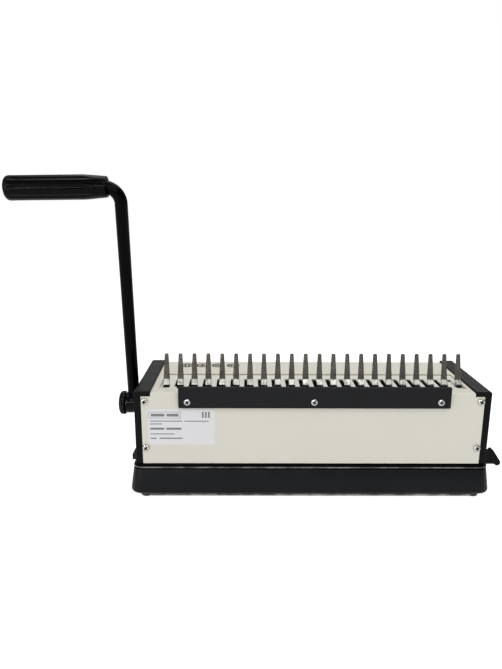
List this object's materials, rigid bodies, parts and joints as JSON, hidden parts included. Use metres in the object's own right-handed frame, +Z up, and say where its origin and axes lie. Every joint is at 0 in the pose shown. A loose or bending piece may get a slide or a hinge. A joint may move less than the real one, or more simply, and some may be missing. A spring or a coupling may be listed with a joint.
{
  "type": "comb binding machine",
  "caption": "Desk-top lever punch that cuts rectangular holes along a paper's edge, with a row of tines and a sliding hook plate on top that open a plastic binding comb.",
  "frame": {"origin": "on the ground plane, below the middle of the overall length and depth at rest", "axes": "+X along the row of tines, from the lever's end to the waste tray's pull; +Y from the tines towards the paper table; +Z up"},
  "size_m": [0.5045, 0.2467, 0.3184],
  "materials": {
    "black_plastic": "fine-grained satin black",
    "black_paint": "gloss black enamel",
    "cream_paint": "smooth cream enamel",
    "sheet_steel": "zinc-plated sheet",
    "plated_steel": "bright plated",
    "dark_steel": "dark oiled",
    "brass": "turned",
    "rubber": "matt",
    "label": "blank silver-grey film",
    "badge": "printed film"
  },
  "bodies": {
    "cabinet": {"base_shell": "black_plastic", "bottom_plate": "sheet_steel", "rubber_feet": "rubber", "base_screws": "plated_steel", "tray_guides": "black_plastic", "left_frame": "sheet_steel", "right_frame": "sheet_steel", "frame_screws": "plated_steel", "die_plate": "dark_steel", "paper_stop": "sheet_steel", "guide_plate": "dark_steel", "guide_rods": "plated_steel", "tie_rods": "plated_steel", "shaft_bushes": "brass", "cover": "cream_paint", "left_panel": "black_plastic", "right_panel": "black_plastic", "cover_screws": "plated_steel", "stop_bar": "black_paint", "stop_bar_screws": "plated_steel", "label_plate": "label", "icon_badges": "badge", "tine_strip": "sheet_steel", "tines": "dark_steel", "hook_rails": "plated_steel"},
    "lever": {"main_shaft": "plated_steel", "lift_cams": "dark_steel", "drive_arms": "dark_steel", "shaft_rings": "dark_steel", "lever_hub": "black_plastic", "lever_bar": "black_paint", "lever_grip": "black_plastic"},
    "lever_knob": {"hub_knob": "black_plastic"},
    "punch": {"punch_beam": "dark_steel", "punch_pins": "plated_steel", "cam_pads": "plated_steel", "return_springs": "plated_steel"},
    "comb_hooks": {"hook_plate": "cream_paint", "hook_forks": "plated_steel"},
    "tray": {"waste_tray": "black_plastic", "tray_pull": "black_plastic"},
    "paper_guide": {"edge_guide": "black_plastic"},
    "guide_clamp": {"guide_knob": "black_plastic"}
  },
  "joints": [
    {"name": "lever_pull", "type": "hinge", "parent": "cabinet", "child": "lever", "pos_m": [0.03575, -0.06115, 0.0814], "axis": [-1, 0, 0], "range_deg": [0, 90]},
    {"name": "punch_stroke", "type": "slide", "parent": "cabinet", "child": "punch", "axis": [0, 0, -1], "range_m": [0, 0.00951], "stiffness_N_per_m": 200, "deforming": ["return_springs"]},
    {"name": "hook_slide", "type": "slide", "parent": "cabinet", "child": "comb_hooks", "axis": [0, 1, 0], "range_m": [0, 0.02202]},
    {"name": "tray_slide", "type": "slide", "parent": "cabinet", "child": "tray", "axis": [1, 0, 0], "range_m": [0, 0.3]},
    {"name": "guide_slide", "type": "slide", "parent": "cabinet", "child": "paper_guide", "axis": [1, 0, 0], "range_m": [-0.006, 0.006]},
    {"name": "guide_clamp_turn", "type": "hinge", "parent": "paper_guide", "child": "guide_clamp", "pos_m": [0.19115, 0.04285, 0.05], "axis": [0, 0, 1], "continuous": true},
    {"name": "lever_knob_turn", "type": "hinge", "parent": "lever", "child": "lever_knob", "pos_m": [-0.16325, -0.06115, 0.0814], "axis": [-1, 0, 0], "continuous": true}
  ],
  "couplings": [
    {"joint": "punch_stroke", "follows": "lever_pull", "m_per_rad": 0.0060479},
    {"joint": "hook_slide", "follows": "lever_pull", "m_per_rad": 0.014006}
  ]
}
